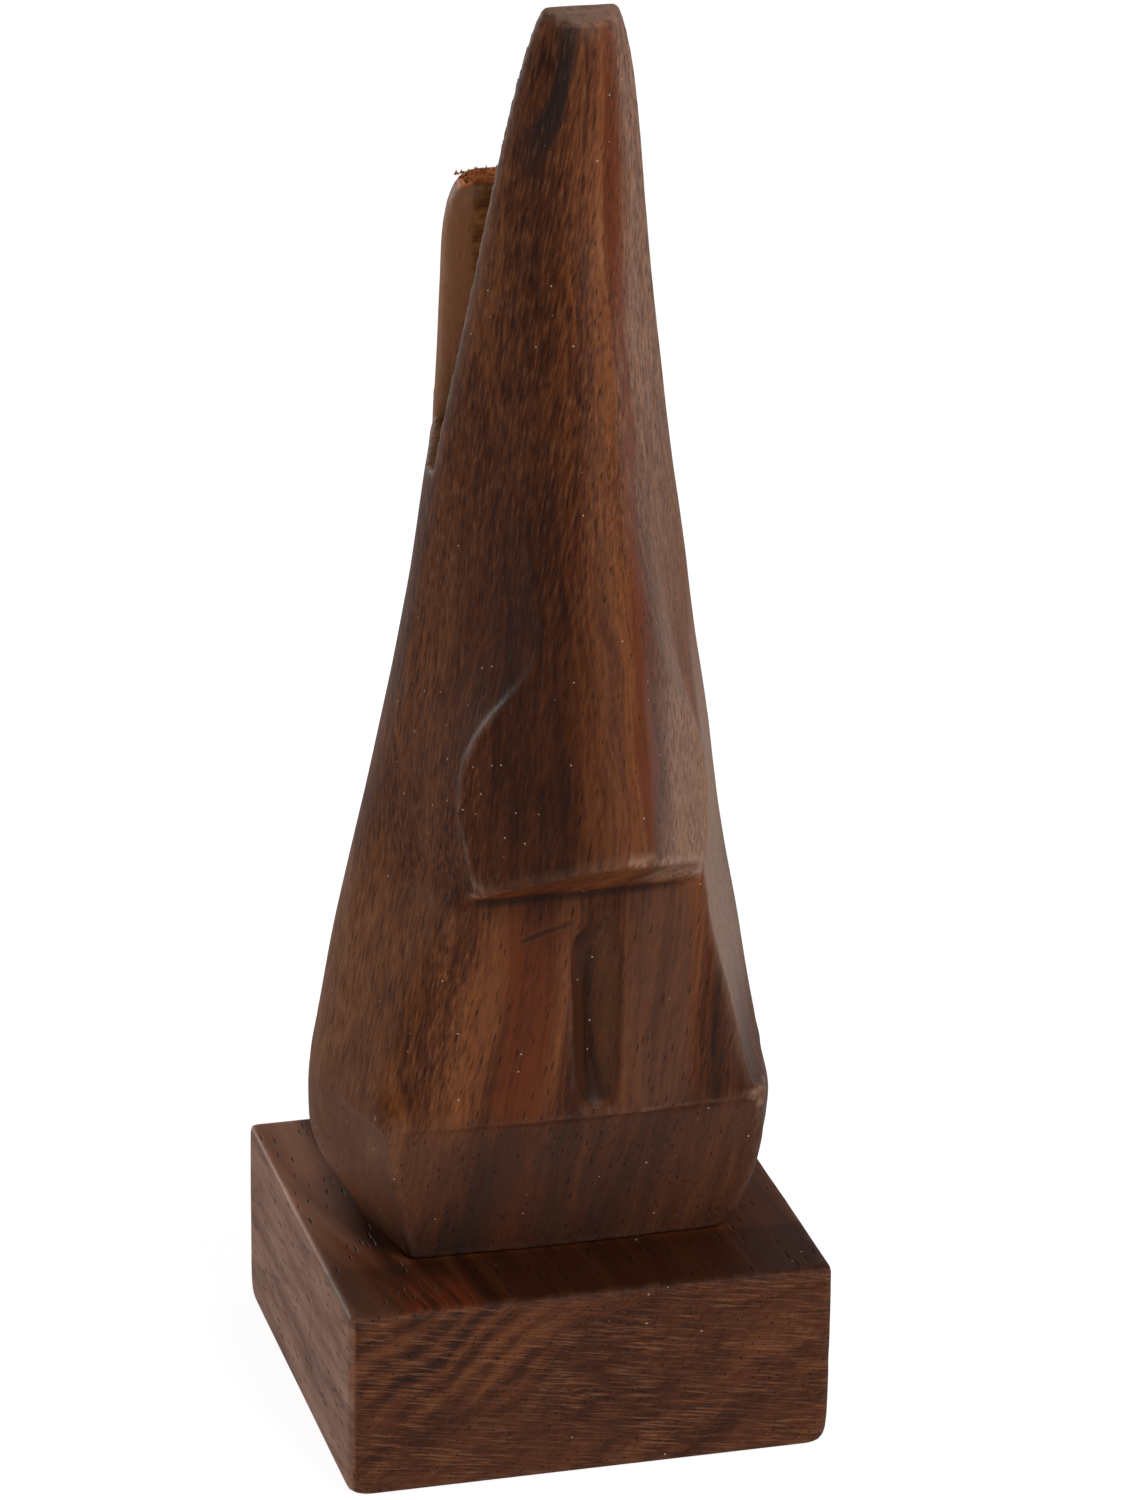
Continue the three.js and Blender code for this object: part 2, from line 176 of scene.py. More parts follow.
def half_section(zone, z, side):
    """Half of the body's outline at one height, from the front centre round to the back centre."""
    centre, shoulder, edge = (np.array(p, float) for p in front_of(zone, z, side))
    w = half_width(z)
    widest = np.array((w, widest_y(z)))
    flank = np.hypot(*(widest - edge))
    flank_bend = mix(edge, widest, 1 - min(SIDE_SOFTNESS, flank * 0.4) / flank)
    back = back_y(z)
    side_end = np.array((w * back_shrink(z), back - 5))
    side_bend = mix(widest, side_end, 0.3)
    back_corner = np.array((side_end[0] - 0.6, back))
    back_end = np.array((side_end[0] - 5, back))
    # the shoulders are crisp on the nose and well rounded on the front prong
    round_off = step_between(z, 106, 134) if zone == "nose" else 0
    half = []
    for t in np.arange(9) / 8 * (1 - 0.5 * round_off):
        half.append((mix(centre[0], shoulder[0], t), mix(centre[1], shoulder[1], t * t)))
    if round_off > 0:
        flank_start = mix(edge, flank_bend, 0.4 * round_off)
        half += bow(np.array(half.pop()), mix(shoulder, edge, 0.5), flank_start, 8)
        edge = flank_start
    if zone == "lip" and side < 0:
        # the left edge of the lip is worn round, least where it meets the nose and the chin
        worn = min(1, max(0, CREASE_Z - z) / 12, 0.35 + (z - CHIN_Z) / 8)
        half += bow(mix(edge, shoulder, 0.6 * worn), edge, mix(edge, flank_bend, 0.4 * worn), 6)
    else:
        half.append(tuple(edge))
    if zone == "nose" and wing_step(z) > 0:
        along = (flank_bend - edge) / max(np.hypot(*(flank_bend - edge)), 1e-6)
        half.append(tuple(edge + 0.3 * along + wing_step(z) * np.array((-along[1], along[0]))))
    half += bow(flank_bend, widest, side_bend, 8)
    half += bow(side_end, back_corner, back_end, 6)
    half.append((0, back + 0.2))
    return half


def section(zone, z):
    """The closed outline of the body at one height."""
    lean, w, hip = lean_x(z), half_width(z), right_hip(z)
    right = [(x + lean + hip * min(1, 1.5 * (x / w) ** 2), y) for x, y in half_section(zone, z, 1)]
    left = [(lean - x, y) for x, y in half_section(zone, z, -1)[1:-1]]
    return right + left[::-1]


def rear_section(z):
    """The outline of the rear prong at one height."""
    w = rear_half(z)
    flat = min(w - 0.5, REAR_FLAT)
    facet = (w - flat) * REAR_FACET_LEAN
    right = [
        (0, SLOT_BACK_Y), (flat, SLOT_BACK_Y), (w - 0.3, SLOT_BACK_Y + facet),
        (w, min(SLOT_BACK_Y + 2 * facet, REAR_BACK_Y - 1.4)),
        (w - 0.3, REAR_BACK_Y - 1), (w - 1.4, REAR_BACK_Y), (0, REAR_BACK_Y),
    ]
    return right + [(-x, y) for x, y in right[1:-1]][::-1]


groove_left = curve([
    (46.2, 2.2), (46.9, 0.8), (48.5, -0.2), (52, -0.7), (60, -1.2), (68, -1.6), (70, -1.2), (72.6, 3.0),
])
groove_valley = curve([
    (46.2, 2.4), (48.5, 2.0), (52, 1.6), (60, 1.2), (65, 1.1), (70, 2.2), (72.6, 3.6),
])
groove_right = curve([
    (46.2, 2.8), (46.9, 3.9), (48.5, 4.7), (52, 5.0), (62, 5.1), (68, 4.8), (71, 4.4), (72.6, 4.0),
])
groove_depth = curve([
    (46.2, 0.3), (46.9, 1.0), (48.5, 1.8), (52, 2.7), (60, 2.9), (65, 2.2), (68, 1.5), (72.6, 0.4),
])
groove_slit = curve([
    (46.2, 0), (49.5, 0), (52, 0.9), (60, 1.3), (63, 1.1), (65.5, 0), (72.6, 0),
])


def groove_section(z):
    """The outline of the knife-cut groove in the lip at one height, open to the front."""
    face = front_of("lip", z, 1)[0][1] + 0.1
    left, valley, right, depth = groove_left(z), groove_valley(z), groove_right(z), groove_depth(z)
    step = min(0.75, depth)
    slit = groove_slit(z)
    return [
        (left - 0.2, face - 3), (right + 0.2, face - 3), (right, face), (right - 0.1, face + step),
        (mix(valley, right, 0.25), face + depth * 0.8), (valley + 0.25, face + depth * 0.9),
        (valley, face + depth * 0.9 + slit), (valley - 0.3, face + depth * 0.8),
        (mix(valley, left, 0.8), face + min(1.1, depth) * 0.8), (left, face),
    ]


# ---------- carving grid
CORNERS = [(dx, dy, dz) for dx in (0, 1) for dy in (0, 1) for dz in (0, 1)]  # of one cell


def outline_distance(points, x, y):
    """Signed distance from grid points to a closed outline, negative inside."""
    nearest = np.full(x.shape, 1e6, np.float32)
    inside = np.zeros(x.shape, bool)
    for (ax, ay), (bx, by) in zip(points, points[1:] + points[:1]):
        ex, ey = bx - ax, by - ay
        length = ex * ex + ey * ey
        if length < 1e-9:
            continue
        t = np.clip(((x - ax) * ex + (y - ay) * ey) / length, 0, 1)
        nearest = np.minimum(nearest, (x - ax - t * ex) ** 2 + (y - ay - t * ey) ** 2)
        if ay != by:
            crossing = (ay > y) != (by > y)
            inside ^= crossing & (x < ax + (y - ay) * ex / ey)
    return np.where(inside, -1, 1) * np.sqrt(nearest)


def rounded_cut(a, b, radius):
    """What two distances share, with the edge between them rounded to a radius."""
    corner = np.hypot(np.maximum(a + radius, 0), np.maximum(b + radius, 0))
    return corner + np.minimum(np.maximum(a, b), -radius)


class Grid:
    """A block of cells that holds the distance to a surface, negative inside it."""

    def __init__(self, low, high, cell):
        self.low = np.array(low, float)
        self.cell = cell
        counts = np.ceil((np.array(high) - self.low) / cell).astype(int) + 1
        self.xs, self.ys, self.zs = (self.low[a] + cell * np.arange(counts[a]) for a in range(3))
        self.x, self.y = np.meshgrid(self.xs.astype(np.float32), self.ys.astype(np.float32), indexing="ij")
        self.field = np.full(counts, FAR, np.float32)

    def window(self, centre, reach):
        """The slices that cover a small region, and the coordinates of its cells."""
        first = np.floor((np.array(centre) - reach - self.low) / self.cell).astype(int)
        last = np.ceil((np.array(centre) + reach - self.low) / self.cell).astype(int) + 1
        first = np.maximum(first, 0)
        last = np.minimum(last, self.field.shape)
        part = tuple(slice(a, b) for a, b in zip(first, last))
        return part, np.meshgrid(self.xs[part[0]], self.ys[part[1]], self.zs[part[2]], indexing="ij")

    def chip(self, centre, size):
        """Takes an ellipsoid bite out of the solid."""
        part, (x, y, z) = self.window(centre, np.array(size) * 1.6 + 1)
        scaled = np.sqrt(sum(((p - c) / s) ** 2 for p, c, s in zip((x, y, z), centre, size)))
        bite = (scaled - 1) * min(size)
        self.field[part] = np.maximum(self.field[part], -bite)

    def cut_line(self, start, end, radius):
        """Takes a knife cut, a capsule that thins towards both ends, out of the solid."""
        start, end = np.array(start, float), np.array(end, float)
        centre = (start + end) / 2
        part, (x, y, z) = self.window(centre, np.abs(end - start) / 2 + radius + 1)
        along = end - start
        t = sum((p - s) * a for p, s, a in zip((x, y, z), start, along)) / (along @ along)
        t = np.clip(t, 0, 1)
        away = np.sqrt(sum((p - s - t * a) ** 2 for p, s, a in zip((x, y, z), start, along)))
        thin = radius * np.sqrt(np.clip(4 * t * (1 - t), 0, 1))
        self.field[part] = np.maximum(self.field[part], thin - away)

    def blurred(self, sigma):
        """The field after a Gaussian blur, which rounds edges and leaves flat faces where they are."""
        reach = max(1, int(math.ceil(3 * sigma / self.cell)))
        offsets = np.arange(-reach, reach + 1)
        weights = np.exp(-0.5 * (offsets * self.cell / sigma) ** 2)
        weights /= weights.sum()
        out = self.field
        for axis in range(3):
            padded = np.pad(out, [(reach, reach) if a == axis else (0, 0) for a in range(3)], mode="edge")
            total = np.zeros_like(out)
            for i, weight in enumerate(weights):
                cut = [slice(None)] * 3
                cut[axis] = slice(i, i + out.shape[axis])
                total += np.float32(weight) * padded[tuple(cut)]
            out = total
        return out

    def sample(self, field, points):
        """Trilinear value of a field at any points."""
        place = np.clip((points - self.low) / self.cell, 0, np.array(field.shape) - 1.001)
        base = place.astype(int)
        t = place - base
        total = np.zeros(len(points))
        for corner in CORNERS:
            share = np.prod(np.where(corner, t, 1 - t), axis=1)
            total += share * field[tuple((base + corner).T)]
        return total

    def slope(self, field, points):
        """Gradient of a field at any points."""
        reach = self.cell * 0.5
        steps = np.eye(3) * reach
        return np.stack([
            (self.sample(field, points + s) - self.sample(field, points - s)) / (2 * reach) for s in steps
        ], axis=1)

    def surface(self, field):
        """Vertices and quads of the zero surface, one vertex in each cell that it crosses."""
        inside = field < 0
        nx, ny, nz = (n - 1 for n in field.shape)
        count = sum(inside[dx:dx + nx, dy:dy + ny, dz:dz + nz].astype(np.int8) for dx, dy, dz in CORNERS)
        cells = np.argwhere((count > 0) & (count < 8))
        number = np.full((nx, ny, nz), -1, np.int64)
        number[tuple(cells.T)] = np.arange(len(cells))
        value = {c: field[tuple((cells + c).T)] for c in CORNERS}
        total = np.zeros((len(cells), 3))
        hits = np.zeros(len(cells))
        for a in CORNERS:
            for axis in range(3):
                if a[axis]:
                    continue
                b = tuple(1 if i == axis else a[i] for i in range(3))
                crossed = (value[a] < 0) != (value[b] < 0)
                t = value[a] / np.where(crossed, value[a] - value[b], 1)
                point = np.array(a, float)[None] + t[:, None] * (np.arange(3) == axis)
                total[crossed] += point[crossed]
                hits += crossed
        vertices = self.low + self.cell * (cells + total / hits[:, None])
        quads = []
        for axis in range(3):
            u, v = (axis + 1) % 3, (axis + 2) % 3
            here = [slice(None)] * 3
            ahead = [slice(None)] * 3
            here[axis] = slice(0, -1)
            ahead[axis] = slice(1, None)
            edges = np.argwhere(inside[tuple(here)] != inside[tuple(ahead)])
            keep = (edges[:, u] > 0) & (edges[:, v] > 0)
            edges = edges[keep & (edges[:, u] < inside.shape[u] - 1) & (edges[:, v] < inside.shape[v] - 1)]
            step_u = (np.arange(3) == u).astype(int)
            step_v = (np.arange(3) == v).astype(int)
            ring = [edges - step_u - step_v, edges - step_v, edges, edges - step_u]
            quad = np.stack([number[tuple(r.T)] for r in ring], axis=1)
            outward = inside[tuple(edges.T)]
            quads.append(np.where(outward[:, None], quad, quad[:, ::-1]))
        return vertices, np.concatenate(quads)

    def mesh(self):
        """The sanded surface: vertices, normals, quads, and -1 to 1 from hollows to sharp edges."""
        soft = self.blurred(SOFTNESS)
        vertices, quads = self.surface(soft)
        for _ in range(3):
            gradient = self.slope(soft, vertices)
            size = np.maximum((gradient ** 2).sum(1), 0.05)
            shift = self.sample(soft, vertices)[:, None] * gradient / size[:, None]
            vertices = vertices - np.clip(shift, -self.cell / 2, self.cell / 2)
        gradient = self.slope(soft, vertices)
        normals = gradient / np.maximum(np.linalg.norm(gradient, axis=1), 1e-6)[:, None]
        wide = self.sample(self.blurred(EDGE_REACH), vertices)
        return vertices, normals, quads, np.clip(wide / 0.5, -1, 1)


def hashed(i, j, k, seed):
    """A repeatable number from -1 to 1 for each whole-number place."""
    n = (i * 374761393 + j * 668265263 + k * 1440662683 + seed * 144665) & 0xFFFFFFFF
    n = ((n ^ (n >> 13)) * 1274126177) & 0xFFFFFFFF
    return ((n ^ (n >> 16)) & 0xFFFF) / 32767.5 - 1


def ripple(points, wavelength, seed):
    """Smooth noise from -1 to 1 with the given wavelength along each axis."""
    place = points / np.array(wavelength, float)
    base = np.floor(place).astype(np.int64)
    t = place - base
    t = t * t * (3 - 2 * t)
    total = np.zeros(len(points))
    for corner in CORNERS:
        share = np.prod(np.where(corner, t, 1 - t), axis=1)
        total += share * hashed(*(base + corner).T, seed)
    return total


def step_between(value, low, high):
    """Smooth step from 0 to 1 as a value goes from low to high."""
    t = np.clip((value - low) / (high - low), 0, 1)
    return t * t * (3 - 2 * t)


def make_piece(name, vertices, faces, attributes=None):
    """A smooth-shaded mesh object from millimetre coordinates, with float attributes on its vertices."""
    mesh = bpy.data.meshes.new(name)
    faces = np.asarray(faces, np.int32)
    corners = faces.shape[1]
    mesh.vertices.add(len(vertices))
    mesh.vertices.foreach_set("co", (np.asarray(vertices) * MM).astype(np.float32).ravel())
    mesh.loops.add(faces.size)
    mesh.loops.foreach_set("vertex_index", faces.ravel())
    mesh.polygons.add(len(faces))
    mesh.polygons.foreach_set("loop_start", np.arange(0, faces.size, corners, dtype=np.int32))
    mesh.polygons.foreach_set("loop_total", np.full(len(faces), corners, np.int32))
    mesh.update(calc_edges=True)
    mesh.validate()
    mesh.shade_smooth()
    for key, values in (attributes or {}).items():
        layer = mesh.attributes.new(key, "FLOAT", "POINT")
        layer.data.foreach_set("value", np.asarray(values, np.float32))
    piece = bpy.data.objects.new(name, mesh)
    scene.collection.objects.link(piece)
    return piece


# ---------- carved body
def body_level(x, y, z, right_lift):
    """Distance to the carved body over one level of the grid."""
    level = np.full(x.shape, FAR, np.float32)
    if z < CREASE_Z + 2.5:
        zone = "chin" if z < CHIN_Z else "lip"
        core = outline_distance(section(zone, max(z, FOOT_Z)), x, y)
        # the lip plane draws back a little where the nose covers it
        tucked = 0.55 * step_between(z, CREASE_Z - 4, CREASE_Z + 2) * step_between(-y, 5, 12)
        level = np.maximum(core + tucked, z - CREASE_Z - 2)
    if z > 60:
        nose = outline_distance(section("nose", min(max(z, NOSE_CORNER_Z), TOP_Z)), x, y)
        underside_z = NOSE_CORNER_Z + UNDERSIDE_RISE * (NOSE_CORNER_Y - y) + right_lift
        level = np.minimum(level, np.maximum(nose, (underside_z - z) * UNDERSIDE_COSINE))
    if 45.5 < z < 73:
        level = np.maximum(level, -outline_distance(groove_section(z), x, y))
    level = rounded_cut(level, np.minimum(y - slot_wall_y(z), z - SLOT_FLOOR_Z), SLOT_EDGE)
    if 110 < z < REAR_TOP_Z + 3:
        rear = outline_distance(rear_section(min(z, REAR_TOP_Z)), x, y)
        level = np.minimum(level, rounded_cut(rear, z - REAR_TOP_Z, REAR_EDGE))
    for screw_y in SCREW_YS:
        hole = np.hypot(x, y - screw_y) - HOLE_RADIUS
        level = np.maximum(level, -np.maximum(hole, z - HOLE_TOP))
    level = np.maximum(level, FOOT_Z - z)
    top_plane = z - TOP_Z - TOP_LIFT - TOP_TILT * (y - TOP_BACK_Y)
    return rounded_cut(level, top_plane, TOP_EDGE)


def body_marks(vertices, normals, edge):
    """What the knife, the saw and handling have left on each vertex of the body, and where painted
    highlights, sheen and shade go.
    """
    vx, vy, vz = vertices.T
    nx, ny, nz = normals.T
    above_floor = vz > SLOT_FLOOR_Z
    # the walls and the floor of the slot are rough from the saw
    slot_wall = (np.abs(vy - slot_wall_y(vz)) < 0.5) & (ny > 0.5)
    rear_wall = (np.abs(vy - SLOT_BACK_Y) < 0.5) & (ny < -0.93)
    inner = (vz > SLOT_FLOOR_Z - 0.5) & (slot_wall | rear_wall | (nz > 0.8))
    inner &= (vz < 182) & (vy > -11)
    torn = (vz > REAR_TOP_Z - 1.2) & (vy > 5) & (nz > 0.45)
    # the top facet of the front prong, which faces up; it is painted pale as sheen
    top = step_between(vz, 182.3, 183) * step_between(nz, 0.5, 0.85)
    # how pale the edges are painted: wear from handling, and painted highlights along the nose's wings, its
    # underside edge, the chin step and the top
    rub_and_highlight = np.full(len(vz), 0.15)
    wing = np.array([wing_x(z) for z in vz])
    rub_and_highlight[(vz > 77) & (vz < 113) & (np.abs(np.abs(vx) - wing) < 1.3) & (vy < -19)] = 0.7
    rub_and_highlight[(vz > 77) & (vz < 88) & (vx > 1) & (nz > -0.35) & (vy < -23)] = 0.8
    rub_and_highlight[(np.abs(vz - CHIN_Z) < 1.2) & (vy < -15) & (vx > 8)] = 0.8
    rub_and_highlight[above_floor & (vy > -12.5)] = 0.12
    rub_and_highlight[above_floor & (vy > 5)] = 0.5
    rub_and_highlight[vz > 182.7] = 0.6
    # bare, sawn wood on the edge that the slot saw left down the sides of the front prong, painted light as
    # a highlight along it as well
    raw_and_highlight = step_between(-np.abs(vy - slot_wall_y(vz)), -0.5, -0.2) * (ny < 0.8) * above_floor * (vz < 165)
    # the right flank of the front prong, which faces the light on the right: painted sheen and long strokes
    # go here
    right = step_between(nx, 0.45, 0.95) * step_between(vz, 96, 146) * step_between(-vy, -6, 6)
    # the faces of the groove and of the knife crease, where painted shade goes: 1 on the left face and
    # along the crease, a half on the right one
    lip_y = np.interp(vz, (CHIN_Z, CREASE_Z), (-21.2, -21.9))
    in_groove = (vz > 46) & (vz < 73) & (vy > lip_y + 0.25) & (vy < -15) & (ny < -0.1)
    in_groove &= np.abs(vx - 2) < 3.6
    valley = np.array([groove_valley(z) for z in vz])
    cut = np.where(in_groove, np.where(vx < valley, 1.0, 0.5), 0.0)
    crease_z = np.interp(vx, (KNIFE_START[0], KNIFE_END[0]), (KNIFE_START[2], KNIFE_END[2]))
    crease = np.clip(1.4 - np.abs(vz - crease_z) / 0.6, 0, 1)
    crease *= step_between(vx, -9, -7.5) * step_between(-vx, 0.6, 1.6) * (vy < -20) * (vz < CREASE_Z)
    return {
        "edge": edge, "sawn": inner.astype(float), "torn": torn.astype(float), "top": top, "rub_and_highlight": rub_and_highlight,
        "cut": np.maximum(cut, crease), "raw_and_highlight": raw_and_highlight, "right": right,
    }


def carve_body():
    grid = Grid((-32.5, -41.5, 22.5), (34.5, 18, 186.5), GRID)
    right_lift = RIGHT_CORNER_LIFT * step_between(grid.x, 2, 14) * step_between(-grid.y, 21.3, 24)
    for k, z in enumerate(grid.zs):
        grid.field[:, :, k] = body_level(grid.x, grid.y, z, right_lift)
    # small damage on the edges: places and half sizes
    grid.chip((7.2, -35.9, 84.2), (0.9, 0.7, 0.6))
    grid.chip((-9.9, 10.8, 144.5), (0.6, 1.6, 0.9))
    for scallop_x in (-2.6, -1.3, 0.2, 1.6, 2.9, 4.2):
        scallop_y = -15.6 + 0.10 * (scallop_x - 1) ** 2
        grid.chip((scallop_x, scallop_y, 183.4), (0.55, 0.45, 0.4))
    grid.cut_line(KNIFE_START, KNIFE_END, 0.55)
    vertices, normals, quads, edge = grid.mesh()
    marks = body_marks(vertices, normals, edge)
    # the foot stays flat on the base; above it knife strokes and saw teeth have left a slight ripple
    free = step_between(vertices[:, 2], FOOT_Z + 0.4, FOOT_Z + 3)
    carved = 0.10 * ripple(vertices, (9, 9, 16), 3) + 0.045 * ripple(vertices, (3.5, 3.5, 7), 5)
    saw = 0.035 * ripple(vertices, (40, 40, 1.5), 7) + 0.045 * ripple(vertices, (1.6, 1.6, 1.3), 9)
    push = free * ((1 - marks["sawn"]) * carved + marks["sawn"] * saw)
    return make_piece("carved_body", vertices + normals * push[:, None], quads, marks)


# ---------- base block
def carve_base():
    grid = Grid((-33.25, -31.25, -2.25), (33.25, 31.25, 27.25), GRID)
    x, y = np.abs(grid.x), np.abs(grid.y)
    # the upright corners are worn most at the bottom, where the edge is rounded under as well
    worn = curve([(0, 2.4), (0.6, 2.4), (1.8, 1.7), (5, 1), (FOOT_Z, 0.7)])
    inset = curve([(0, 0.6), (0.6, 0.15), (1.8, 0), (FOOT_Z, 0)])
    for k, z in enumerate(grid.zs):
        radius = worn(z)
        qx = x - (BASE_WIDTH / 2 - inset(z) - radius)
        qy = y - (BASE_DEPTH / 2 - inset(z) - radius)
        level = np.hypot(np.maximum(qx, 0), np.maximum(qy, 0)) + np.minimum(np.maximum(qx, qy), 0) - radius
        level = np.maximum(rounded_cut(level, z - FOOT_Z, PLINTH_EDGE), -z)
        for screw_y in SCREW_YS:
            away = np.hypot(grid.x, grid.y - screw_y)
            head = HEAD_HOLE_RADIUS - max(0, z - 1.2)
            level = np.maximum(level, max(HOLE_RADIUS, head if z < HEAD_HOLE_TOP else 0) - away)
        grid.field[:, :, k] = level
    # small damage on the edges: places and half sizes
    for centre, size in (
        ((-31.2, -20.5, 24.9), (0.5, 1.0, 0.5)),
        ((-31.1, -6, 25.1), (0.45, 0.8, 0.4)),
        ((-24.5, -29.2, 25.2), (0.9, 0.5, 0.5)),
        ((3.5, -29.2, 25.3), (1.2, 0.5, 0.5)),
        ((31.1, -14, 25.2), (0.4, 1.1, 0.5)),
        ((30.9, -29, 12), (0.5, 0.5, 1.3)),
        ((-31.1, -29.1, 21), (0.5, 0.5, 1.0)),
        ((12, -29.3, 0), (1.5, 0.5, 0.5)),
    ):
        grid.chip(centre, size)
    vertices, normals, quads, edge = grid.mesh()
    vx, vy, vz = vertices.T
    # the underside and the place where the body stands stay flat
    under_body = (vz > FOOT_Z - 0.5) & (np.abs(vx) < 24) & (vy > -16) & (vy < 14)
    free = np.where(under_body, 0.0, step_between(vz, 0.3, 2))
    end_grain = step_between(np.abs(normals[:, 1]), 0.5, 0.8)
    # the plane and, on the sawn ends, slanting sandpaper have left a slight ripple
    planed = 0.07 * ripple(vertices, (14, 14, 14), 13) + 0.03 * ripple(vertices, (4, 4, 4), 15)
    tilted = vertices.copy()
    tilted[:, 2] += 0.2 * vertices[:, 0]
    combed = 0.035 * ripple(tilted, (12, 12, 1.1), 17)
    vertices = vertices + normals * (free * (planed + end_grain * combed))[:, None]
    return make_piece("base_plinth", vertices, quads, {"edge": edge, "end_grain": end_grain})


# ---------- torn fibres on the rear prong
def torn_fibres():
    """Splinters that the saw left standing on the end grain of the rear prong."""
    rng = np.random.default_rng(41)
    vertices, faces = [], []
    for _ in range(300):
        along = rng.uniform(-1, 1)
        x = along * 7.6
        y = rng.uniform(SLOT_BACK_Y + 0.3, REAR_BACK_Y - 0.4)
        root_z = REAR_TOP_Z - 0.3 - 2.2 * max(0, abs(along) - 0.72) ** 1.4
        height = rng.uniform(0.35, 0.6) * (1.9 if rng.random() < 0.12 and abs(along) < 0.75 else 1)
        width = rng.uniform(0.10, 0.26)
        turn = rng.uniform(0, math.pi)
        lean = rng.normal(0, 0.45, 2) * height
        first = len(vertices)
        for corner in range(3):
            angle = turn + corner * 2 * math.pi / 3
            long_way = 1.9 if corner == 0 else 1
            vertices.append((x + width * long_way * math.cos(angle), y + width * math.sin(angle), root_z))
        vertices.append((x + lean[0], y + lean[1], root_z + height))
        faces += [(first, first + 1, first + 3), (first + 1, first + 2, first + 3)]
        faces += [(first + 2, first, first + 3), (first + 2, first + 1, first)]
    return make_piece("torn_fibres", np.array(vertices), faces)


# ---------- materials
class Shader:
    """A node material with one Principled shader and short calls for the nodes that feed it."""

    def __init__(self, name):
        self.material = bpy.data.materials.new(name)
        self.material.use_nodes = True
        self.tree = self.material.node_tree
        self.tree.nodes.clear()
        out = self.add("ShaderNodeOutputMaterial")
        self.surface = self.add("ShaderNodeBsdfPrincipled")
        self.tree.links.new(self.surface.outputs["BSDF"], out.inputs["Surface"])

    def add(self, kind):
        return self.tree.nodes.new(kind)

    def put(self, socket, value):
        if isinstance(value, bpy.types.NodeSocket):
            self.tree.links.new(value, socket)
        elif isinstance(value, (tuple, list)) and len(value) == 3 and socket.type == "RGBA":
            socket.default_value = (*value, 1)
        else:
            socket.default_value = value

    def math(self, operation, a, b=0.0, c=0.0):
        node = self.add("ShaderNodeMath")
        node.operation = operation
        for socket, value in zip(node.inputs, (a, b, c)):
            self.put(socket, value)
        return node.outputs[0]

    def total(self, *terms):
        """A sum of (value, factor) pairs."""
        out = 0.0
        for value, factor in terms:
            out = self.math("MULTIPLY_ADD", value, factor, out)
        return out

    def product(self, *factors):
        out = factors[0]
        for factor in factors[1:]:
            out = self.math("MULTIPLY", out, factor)
        return out

    def vector(self, x, y, z):
        node = self.add("ShaderNodeCombineXYZ")
        for socket, value in zip(node.inputs, (x, y, z)):
            self.put(socket, value)
        return node.outputs[0]

    def place(self):
        """Object coordinates in millimetres, as three values."""
        coordinates = self.add("ShaderNodeTexCoord").outputs["Object"]
        scaled = self.add("ShaderNodeVectorMath")
        scaled.operation = "SCALE"
        self.put(scaled.inputs[0], coordinates)
        scaled.inputs["Scale"].default_value = 1000
        apart = self.add("ShaderNodeSeparateXYZ")
        self.put(apart.inputs[0], scaled.outputs[0])
        return apart.outputs[0], apart.outputs[1], apart.outputs[2]

    def texture(self, kind, places, sizes, shift):
        """A texture node whose blobs measure about sizes millimetres along the three places."""
        node = self.add(kind)
        parts = [self.math("MULTIPLY_ADD", p, 1 / s, shift) for p, s in zip(places, sizes)]
        self.put(node.inputs["Vector"], self.vector(*parts))
        node.inputs["Scale"].default_value = 1
        return node

    def noise(self, x, y, z, sizes, detail=2.0, roughness=0.5, shift=0.0):
        """Noise from 0 to 1."""
        node = self.texture("ShaderNodeTexNoise", (x, y, z), sizes, shift)
        node.inputs["Detail"].default_value = detail
        node.inputs["Roughness"].default_value = roughness
        return node.outputs[0]

    def cells(self, x, y, z, sizes, shift=0.0):
        """Distance from the nearest cell centre, and that cell's own random value."""
        node = self.texture("ShaderNodeTexVoronoi", (x, y, z), sizes, shift)
        apart = self.add("ShaderNodeSeparateColor")
        self.put(apart.inputs[0], node.outputs["Color"])
        return node.outputs["Distance"], apart.outputs[0]

    def between(self, value, low, high, to_low=0.0, to_high=1.0):
        """Smooth step of a value from low to high."""
        node = self.add("ShaderNodeMapRange")
        node.interpolation_type = "SMOOTHSTEP"
        self.put(node.inputs["Value"], value)
        for key, number in (("From Min", low), ("From Max", high), ("To Min", to_low), ("To Max", to_high)):
            node.inputs[key].default_value = number
        return node.outputs[0]

    def band(self, value, centre, half):
        """1 on the centre of a band, falling smoothly to 0 at its half width."""
        away = self.math("ABSOLUTE", self.math("SUBTRACT", value, centre))
        return self.between(away, half * 0.35, half, 1.0, 0.0)

    def ramp(self, value, stops):
        node = self.add("ShaderNodeValToRGB")
        self.put(node.inputs[0], value)
        elements = node.color_ramp.elements
        while len(elements) < len(stops):
            elements.new(0.5)
        for element, (position, colour) in zip(elements, stops):
            element.position = position
            element.color = (*colour, 1)
        return node.outputs[0]

    def blend(self, share, first, second):
        node = self.add("ShaderNodeMix")
        node.data_type = "RGBA"
        self.put(node.inputs["Factor"], share)
        self.put(node.inputs[6], first)
        self.put(node.inputs[7], second)
        return node.outputs[2]

    def lay(self, over, *shares):
        """Lays another colour over the material's, as thickly as the product of the shares."""
        self.colour = self.blend(self.product(*shares), self.colour, over)

    def attribute(self, name):
        node = self.add("ShaderNodeAttribute")
        node.attribute_name = name
        return node.outputs["Fac"]

